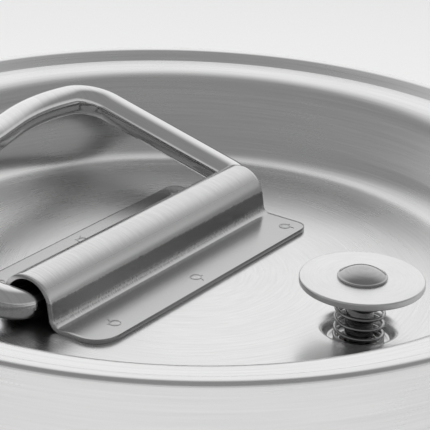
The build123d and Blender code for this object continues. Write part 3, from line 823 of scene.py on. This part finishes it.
def makeRivet():
    top, under = valve["buttonHeight"], valve["buttonHeight"] - valve["buttonThick"]
    edge = top + valve["headEdge"]
    roll = valve["headRoll"]
    shoulder = valve["head"] - roll
    outline = [(r, edge + h) for r, h in capLine(shoulder, valve["headRise"], 18)]
    # the head's edge rolls under to the button
    for i in range(1, 7):
        angle = math.pi / 2 * i / 6
        outline.append((shoulder + roll * math.sin(angle), edge - roll + roll * math.cos(angle)))
    outline += [(valve["head"], top), (valve["pin"], top), (valve["pin"], under), (valve["stem"], under),
                (valve["stem"], sealTop), (valve["pin"], sealTop), (valve["pin"], tailTop)]
    outline += [(r, tailTop - h) for r, h in capLine(valve["tail"], valve["tailRise"], 10)[::-1]]
    rings = [(r, lid["floorTop"] + z, vent["x"], vent["y"]) for r, z in outline]
    return turnedPiece("ventRivet", rings, rivetSteel, vent["sides"], False, 40)


ventRivet = makeRivet()


# The coil follows a rule: dead turns at both ends, an even pitch between them.
def makeSpring():
    tree, start, end = newTree("coilSpring", [
        ("Radius", "NodeSocketFloat", 0.007), ("Wire", "NodeSocketFloat", 0.001),
        ("Height", "NodeSocketFloat", 0.016), ("Turns", "NodeSocketFloat", 6.0),
        ("Closed", "NodeSocketFloat", 1.0), ("Steel", "NodeSocketMaterial", None)])
    radius, wire, height, turns, closed = (
        start.outputs[name] for name in ("Radius", "Wire", "Height", "Turns", "Closed"))
    coil = addNode(tree, "GeometryNodeCurveSpiral", {
        "Resolution": 48, "Rotations": turns, "Start Radius": radius, "End Radius": radius,
        "Height": 0.0}).outputs[0]
    share = addNode(tree, "GeometryNodeSplineParameter").outputs["Factor"]
    dead = addNode(tree, "ShaderNodeMath", {0: closed, 1: turns}, operation="DIVIDE").outputs[0]
    live = addNode(tree, "ShaderNodeMath", {0: 1.0, 1: dead}, operation="SUBTRACT").outputs[0]
    # the dead turns lie on each other, and the live ones share the height that is left
    stacked = addNode(tree, "ShaderNodeMath", {0: wire, 1: 1.02}, operation="MULTIPLY").outputs[0]
    springy = addNode(tree, "ShaderNodeMath", {
        0: stacked, 1: -2.0, 2: height}, operation="MULTIPLY_ADD").outputs[0]
    climb = 0.0
    for low, high, lift in ((0.0, dead, stacked), (dead, live, springy), (live, 1.0, stacked)):
        rise = addNode(tree, "ShaderNodeMapRange", {
            "Value": share, "From Min": low, "From Max": high, "To Min": 0.0, "To Max": lift}).outputs[0]
        climb = addNode(tree, "ShaderNodeMath", {0: climb, 1: rise}, operation="ADD").outputs[0]
    lifted = addNode(tree, "ShaderNodeCombineXYZ", {"Z": climb}).outputs[0]
    risen = addNode(tree, "GeometryNodeSetPosition", {"Geometry": coil, "Offset": lifted}).outputs[0]
    half = addNode(tree, "ShaderNodeMath", {0: wire, 1: 0.5}, operation="MULTIPLY").outputs[0]
    profile = addNode(tree, "GeometryNodeCurvePrimitiveCircle", {"Resolution": 16, "Radius": half}).outputs[0]
    body = addNode(tree, "GeometryNodeCurveToMesh", {0: risen, 1: profile, "Fill Caps": True}).outputs[0]
    real = addNode(tree, "GeometryNodeRealizeInstances", {0: body}).outputs[0]
    steel = addNode(tree, "GeometryNodeSetMaterial", {"Geometry": real, "Material": start.outputs["Steel"]})
    tree.links.new(steel.outputs[0], end.inputs[0])

    gap = valve["wire"] / 2 + valve["springGap"]
    low = gap - vent["dimpleDepth"]
    high = valve["buttonHeight"] - valve["buttonThick"] - gap
    piece = growPiece(seedPiece("ventSpring", []), tree, {
        "Radius": valve["spring"] * mm, "Wire": valve["wire"] * mm, "Height": (high - low) * mm,
        "Turns": valve["turns"], "Closed": valve["closedTurns"], "Steel": wireSteel}, 50)
    piece.data.transform(Matrix.Translation(Vector((vent["x"], vent["y"], lid["floorTop"] + low)) * mm))
    return piece

ventSpring = makeSpring()
print("vent valve made")

can = {
    "radius": 178.0, "sheet": 1.5, "mouthHeight": 540.0, "beltHeight": 372.0, "shoulderHeight": 400.0,
    "shoulderBend": 60.0, "neckRadius": 113.0, "neckLength": 70.0, "neckBend": 30.0, "bottomHeight": 22.0,
    "bottomBend": 28.0, "panelRadius": 115.0, "panelRise": 4.0, "panelBend": 10.0, "hoopHeight": 4.0,
    "hoopHalf": 7.0, "hoopBends": [6, 5, 6], "hoops": (130.0, 255.0), "ringWidth": 8.0, "ringBend": 3.9,
    "footRadius": 171.0, "footSheet": 2.5, "footFlange": 14.0, "footBend": 5.0, "footTop": 33.0,
    "footWeldLevel": 32.6, "weldSteps": 240, "sides": 288}

# the lower shell with its hoops, the shoulder with the neck, and the ring round the mouth
def makeCan():
    sides, sheet = can["sides"], can["sheet"]
    wall = can["radius"] - sheet / 2
    neck = can["neckRadius"] + sheet / 2
    raised = can["bottomHeight"] + can["panelRise"]
    corners = [(0, raised), (can["panelRadius"], raised),
               (can["panelRadius"] + 2 * can["panelRise"], can["bottomHeight"]), (wall, can["bottomHeight"])]
    bends = [can["panelBend"], can["panelBend"], can["bottomBend"]]
    for level in can["hoops"]:
        for rise, out in ((-can["hoopHalf"], 0.0), (0.0, can["hoopHeight"]), (can["hoopHalf"], 0.0)):
            corners.append((wall + out, level + rise))
        bends += can["hoopBends"]
    corners.append((wall, can["beltHeight"]))
    line = splitRuns(bentLine(corners, bends, 1.6), 16)
    body = turnedPiece("canBody", plainRings(sheetOutline(line, sheet)), canSteel, sides, False)
    corners = [(wall, can["beltHeight"]), (wall, can["shoulderHeight"]),
               (neck, can["mouthHeight"] - can["neckLength"]), (neck, can["mouthHeight"])]
    line = splitRuns(bentLine(corners, [can["shoulderBend"], can["neckBend"]], 2.0), 12)
    shoulder = turnedPiece("canShoulder", plainRings(sheetOutline(line, sheet)), canSteel, sides)
    inside, top = can["neckRadius"] + sheet, can["mouthHeight"]
    outside, low, middle = inside + can["ringWidth"], top - can["ringWidth"], top - can["ringWidth"] / 2
    corners = [(inside, middle), (inside, low), (outside, low), (outside, top), (inside, top),
               (inside, middle)]
    outline = bentLine(corners, [0.3, can["ringBend"], can["ringBend"], 0.3], 0.5)[:-1]
    return body, shoulder, turnedPiece("mouthRing", plainRings(outline), canSteel, sides)

canBody, canShoulder, mouthRing = makeCan()


# the ring the can stands on; its top edge is scribed to the body's lower bend
def makeFootRing():
    half, wall, top = can["footSheet"] / 2, can["footRadius"], can["footTop"]
    hub = (can["radius"] - can["sheet"] / 2 - can["bottomBend"], can["bottomHeight"] + can["bottomBend"])
    outer = can["bottomBend"] + can["sheet"] / 2
    line = bentLine([(wall - can["footFlange"], half), (wall, half), (wall, top)], [can["footBend"]], 0.8)
    rings = []
    for p in sheetOutline(line, can["footSheet"], 0.4):
        limit = hub[1] - math.sqrt(max(0.0, outer**2 - (p.x - hub[0])**2))
        rings.append((p.x, min(p.y, limit) if p.y > top / 2 else p.y, 0, 0))
    return turnedPiece("footRing", rings, canSteel, can["sides"])

footRing = makeFootRing()

beltLine = circleLine(can["radius"] - 0.25, can["beltHeight"], can["weldSteps"])
beltWeld = weldBead("beltWeld", [beltLine], {
    "Width": 2.4 * mm, "Height": 0.7 * mm, "Ripple": 1.7 * mm, "Depth": 0.16, "Sides": 12})
footLine = circleLine(can["footRadius"] + can["footSheet"] / 2 + 0.2, can["footWeldLevel"], can["weldSteps"])
footWeld = weldBead("footWeld", [footLine], {
    "Width": 1.4 * mm, "Height": 1.4 * mm, "Ripple": 2.0 * mm, "Depth": 0.2, "Sides": 10})
print("can made")

side = {
    "plateSheet": 2.0, "plateLength": 150.0, "plateHeight": 46.0, "plateCorner": 8.0, "plateEdge": 0.35,
    "rowLevels": (0, 4, 8, 12, 15, 16, 17, 18, 19, 20, 21, 22, 22.6, 23), "plateSteps": 60, "level": 344.0,
    "lugRadius": 9.0, "lugLength": 12.0, "lugSpread": 54.0, "lugEdge": 0.4, "lugSteps": 12, "rod": 10.0,
    "runningGap": 0.08, "armSpread": 70.0, "reach": 75.0, "hingeBend": 9.0, "gripBend": 18.0,
    "rodEndPast": 2.0, "plateWeldSpread": (1.006, 1.02), "plateWeldProud": 0.15, "lugWeldMargin": 0.25,
    "lugWeldProud": 0.2}
pivotRadius = can["radius"] + side["plateSheet"] + side["lugRadius"] + 0.5
lugPlaces = (-side["lugSpread"], side["lugSpread"])

# a point at a radius from the can's axis, by its place along the wall and its height from the hinges
def onWall(facing, radius, along, high):
    return Vector((facing * math.sqrt(radius**2 - along**2), along, side["level"] + high))

# the closed outline of a rectangle with rounded corners, as (along the wall, up)
def roundedOutline(middle, halfLong, halfHigh, corner, arcStep, runStep):
    near, far = middle - halfLong, middle + halfLong
    corners = [(middle, -halfHigh), (far, -halfHigh), (far, halfHigh), (near, halfHigh), (near, -halfHigh),
               (middle, -halfHigh)]
    return splitRuns(bentLine(corners, [corner] * 4, arcStep), runStep)[:-1]

# the plate: rows of points that follow the wall, shortened where the corners are rounded
def makeSidePlate(name, facing):
    halfLong, halfHigh = side["plateLength"] / 2, side["plateHeight"] / 2
    middle, steps = can["radius"] + side["plateSheet"] / 2, side["plateSteps"]
    levels = sorted({way * level for level in side["rowLevels"] for way in (-1, 1)})
    points = []
    for level in levels:
        end = halfLong - cornerCut(side["plateCorner"], halfHigh - abs(level))
        points += [onWall(facing, middle, end * (2 * i / steps - 1), level) for i in range(steps + 1)]
    plate = makePiece(f"sidePlate{name}", points, gridFaces(len(levels), steps + 1), plateSteel, 60)
    return finishSheet(plate, side["plateSheet"], side["plateEdge"], 50)

# the lugs: two tubes, each on a foot that meets the plate
def makeSideLugs(name, facing):
    points, faces = [], []
    radius, steps = side["lugRadius"], side["lugSteps"]
    bore = side["rod"] / 2 + side["runningGap"]
    for place in lugPlaces:
        first = len(points)
        for station in range(steps + 1):
            y = place - side["lugLength"] / 2 + side["lugLength"] * station / steps
            run = math.sqrt((can["radius"] + side["plateSheet"])**2 - y**2) - pivotRadius
            # once round: the round end, the underside, the foot on the plate and the upper side
            angles = [math.pi / 2 - math.pi * i / 32 for i in range(33)]
            outer = [(radius * math.cos(angle), radius * math.sin(angle)) for angle in angles]
            outer += [(run * i / 8, -radius) for i in range(1, 9)]
            outer += [(run, radius * (i / 8 - 1)) for i in range(1, 17)]
            outer += [(run * (1 - i / 8), radius) for i in range(1, 8)]
            angles = [math.atan2(z, x) for x, z in outer]
            inner = [(bore * math.cos(angle), bore * math.sin(angle)) for angle in angles]
            points += [(facing * (pivotRadius + x), y, side["level"] + z) for x, z in outer + inner]
        count = len(outer)
        for k in range(count):
            n = (k + 1) % count
            for station in range(steps):
                a = first + station * 2 * count
                b = a + 2 * count
                faces.append([a + k, a + n, b + n, b + k])
                faces.append([a + count + k, b + count + k, b + count + n, a + count + n])
            for a in (first, first + steps * 2 * count):
                faces.append([a + k, a + n, a + count + n, a + count + k])
    lugs = makePiece(f"sideLugs{name}", points, faces, plateSteel, 40)
    return finishSheet(lugs, 0, side["lugEdge"], 60)

# the drop handle: a bar bent to a U, its ends turned in through the lugs
def makeSideHandle(name, facing):
    rodEnd = side["lugSpread"] - side["lugLength"] / 2 - side["rodEndPast"]
    arm, high, low = side["armSpread"], side["level"], side["level"] - side["reach"]
    x = facing * pivotRadius
    route = [(x, rodEnd, high), (x, arm, high), (x, arm, low), (x, -arm, low), (x, -arm, high),
             (x, -rodEnd, high)]
    line = bentLine(route, [side["hingeBend"], side["gripBend"], side["gripBend"], side["hingeBend"]], 1.0)
    return barPiece(
        f"sideHandle{name}", splitRuns(line, 4.0), side["rod"] / 2, Vector((1, 0, 0)), handleSteel)

# fillet welds round the plate and at the lugs' feet
def makeSideWelds(name, facing):
    wall = can["radius"] + side["plateWeldProud"]
    long, high = side["plateWeldSpread"]
    outline = roundedOutline(
        0, side["plateLength"] / 2, side["plateHeight"] / 2, side["plateCorner"], 1.0, 2.0)
    around = [onWall(facing, wall, p.x * long, p.y * high) for p in outline]
    plateWeld = weldBead(f"plateWeld{name}", [around], {
        "Width": 1.3 * mm, "Height": 1.3 * mm, "Ripple": 1.8 * mm, "Depth": 0.2})
    face, margin = can["radius"] + side["plateSheet"] + side["lugWeldProud"], side["lugWeldMargin"]
    rows = []
    for place in lugPlaces:
        outline = roundedOutline(
            place, side["lugLength"] / 2 + margin, side["lugRadius"] + margin, 1.0, 0.5, 1.2)
        rows.append([onWall(facing, face, p.x, p.y) for p in outline])
    lugWeld = weldBead(f"lugWeld{name}", rows, {
        "Width": 1.1 * mm, "Height": 1.1 * mm, "Ripple": 1.6 * mm, "Depth": 0.2})
    return plateWeld, lugWeld

def makeSideSet(name, facing):
    plate, lugs = makeSidePlate(name, facing), makeSideLugs(name, facing)
    return plate, lugs, makeSideHandle(name, facing), *makeSideWelds(name, facing)

rightSet = makeSideSet("Right", 1)
leftSet = makeSideSet("Left", -1)
print("side handles made")

riding = [
    (canBody, "can", "can_steel", "can_body"),
    (canShoulder, "can", "can_steel", "can_shoulder"),
    (mouthRing, "can", "ring_steel", "mouth_ring"),
    (footRing, "can", "ring_steel", "foot_ring"),
    (beltWeld, "can", "weld_steel", "belt_weld"),
    (footWeld, "can", "weld_steel", None),
    (lidPan, "lid", "lid_steel", "lid_pan"),
    (lidGasket, "lid", "silicone", "lid_gasket"),
    (handleBracket, "lid", "bracket_steel", "handle_bracket"),
    (bracketWelds, "lid", "weld_steel", "bracket_welds"),
    (ventSpring, "lid", "spring_steel", "vent_spring"),
    (bailRod, "bail", "polished_rod", "bail"),
    (bailWeld, "bail", "weld_steel", "bail_weld"),
    (ventButton, "vent", "button_steel", "vent_button"),
    (ventRivet, "vent", "rivet_steel", "vent_rivet"),
    (ventSeal, "vent", "silicone", "vent_seal"),
    (ventPlate, "vent", "button_steel", "vent_valve_plate"),
    (ventWasher, "vent", "button_steel", "vent_washer"),
]
for label, (plate, lugs, handle, plateWeld, lugWeld) in (("right", rightSet), ("left", leftSet)):
    riding += [
        (plate, "can", "plate_steel", f"side_plate_{label}"),
        (lugs, "can", "plate_steel", f"side_lugs_{label}"),
        (handle, f"side_handle_{label}", "polished_rod", f"side_handle_{label}"),
        (plateWeld, "can", "weld_steel", None),
        (lugWeld, "can", "weld_steel", None),
    ]
for piece, body, slot, node in riding:
    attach(piece, body)
    if node:
        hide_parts(node)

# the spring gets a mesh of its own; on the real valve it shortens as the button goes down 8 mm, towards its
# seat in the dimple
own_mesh(ventSpring)
print("pieces ride on their bodies")

studio = {
    "floorSize": 16.0, "floorColour": "#EEEEEE", "heading": 33.76, "pitch": 23.2, "roll": 2.29,
    "aim": (0.0419, 0.0165, 0.518), "distance": 0.657, "lens": 167.44, "sensor": 36.0,
    "clothRise": 20.0, "fadeStart": 14.0, "fadeEnd": 68.0, "clothLevel": 1.2, "roomLevel": 0.34,
    "glowLow": 8.0, "glowHigh": 34.0, "glowLevel": 0.8,
    "lampPower": 122.0, "lampSize": 4.0,
    "lampPlace": (-0.6, -0.4, 3.4)}


def makeStage():
    # Painted studio floor, rolled matt: an even pale ground with a barely seen mottle.
    material = bpy.data.materials.new("mattPaintedStudioFloor")
    material.use_nodes = True
    tree = material.node_tree
    shader = tree.nodes["Principled BSDF"]
    place = addNode(tree, "ShaderNodeTexCoord").outputs["Object"]
    mottle = addNode(tree, "ShaderNodeTexNoise", {
        "Vector": place, "Scale": 3.0, "Detail": 3.0}).outputs["Fac"]
    colour = addNode(tree, "ShaderNodeMix", {
        "Factor": mottle, 6: linearColour("#ECECEC"), 7: linearColour(studio["floorColour"])},
        data_type="RGBA").outputs[2]
    tree.links.new(colour, shader.inputs["Base Color"])
    shader.inputs["Roughness"].default_value = 0.9
    shader.inputs["Specular IOR Level"].default_value = 0.1
    half = studio["floorSize"] / 2
    corners = [(-half, -half, 0), (half, -half, 0), (half, half, 0), (-half, half, 0)]
    mesh = bpy.data.meshes.new("studioFloor")
    mesh.from_pydata(corners, [], [(0, 1, 2, 3)])
    mesh.materials.append(material)
    floor = placeObject("studioFloor", mesh)

def makeLight():
    world = bpy.data.worlds.new("softStudio")
    scene.world = world
    world.use_nodes = True
    tree = world.node_tree
    tree.nodes.clear()
    heading = math.radians(studio["heading"])
    ray = addNode(tree, "ShaderNodeTexCoord").outputs["Generated"]
    rise = math.radians(studio["clothRise"])
    middle = (math.cos(heading) * math.cos(rise), math.sin(heading) * math.cos(rise), math.sin(rise))
    facing = addNode(tree, "ShaderNodeVectorMath", {
        0: ray, 1: middle}, operation="DOT_PRODUCT").outputs["Value"]
    # a bright cloth behind the can that fades into a grey room
    level = addNode(tree, "ShaderNodeMapRange", {
        "Value": facing, "From Min": math.cos(math.radians(studio["fadeEnd"])),
        "From Max": math.cos(math.radians(studio["fadeStart"])),
        "To Min": studio["roomLevel"], "To Max": studio["clothLevel"]},
        interpolation_type="SMOOTHSTEP").outputs[0]
    # the pale walls of the room, which glow along the horizon all round
    height = addNode(tree, "ShaderNodeSeparateXYZ", {"Vector": ray}).outputs[2]
    glow = addNode(tree, "ShaderNodeMapRange", {
        "Value": height, "From Min": math.sin(math.radians(studio["glowLow"])),
        "From Max": math.sin(math.radians(studio["glowHigh"])),
        "To Min": studio["glowLevel"], "To Max": 0.0}, interpolation_type="SMOOTHSTEP").outputs[0]
    brightest = addNode(tree, "ShaderNodeMath", {0: level, 1: glow}, operation="MAXIMUM").outputs[0]
    backdrop = addNode(tree, "ShaderNodeBackground", {
        "Color": (1, 1, 1, 1), "Strength": brightest}).outputs[0]
    addNode(tree, "ShaderNodeOutputWorld", {"Surface": backdrop})

    # a broad overhead cloth that lights the floor; the steel doesn't mirror it
    lamp = bpy.data.lights.new("overheadCloth", "AREA")
    lamp.shape = "SQUARE"
    lamp.size = studio["lampSize"]
    lamp.energy = studio["lampPower"]
    cloth = placeObject("overheadCloth", lamp)
    cloth.location = studio["lampPlace"]
    cloth.visible_glossy = False

def makeCamera():
    heading, pitch, roll = (math.radians(studio[k]) for k in ("heading", "pitch", "roll"))
    forward = Vector((
        math.cos(heading) * math.cos(pitch), math.sin(heading) * math.cos(pitch), -math.sin(pitch)))
    level = forward.cross(Vector((0, 0, 1))).normalized()
    upright = level.cross(forward)
    right = level * math.cos(roll) + upright * math.sin(roll)
    up = upright * math.cos(roll) - level * math.sin(roll)
    data = bpy.data.cameras.new("studioCamera")
    data.lens = studio["lens"]
    data.sensor_width = studio["sensor"]
    camera = placeObject("studioCamera", data)
    turned = Matrix((right, up, -forward)).transposed().to_4x4()
    turned.translation = Vector(studio["aim"]) - forward * studio["distance"]
    camera.matrix_world = turned
    scene.camera = camera


makeStage()
makeLight()
makeCamera()
scene.view_settings.view_transform = "Standard"
print("floor, light and camera made")
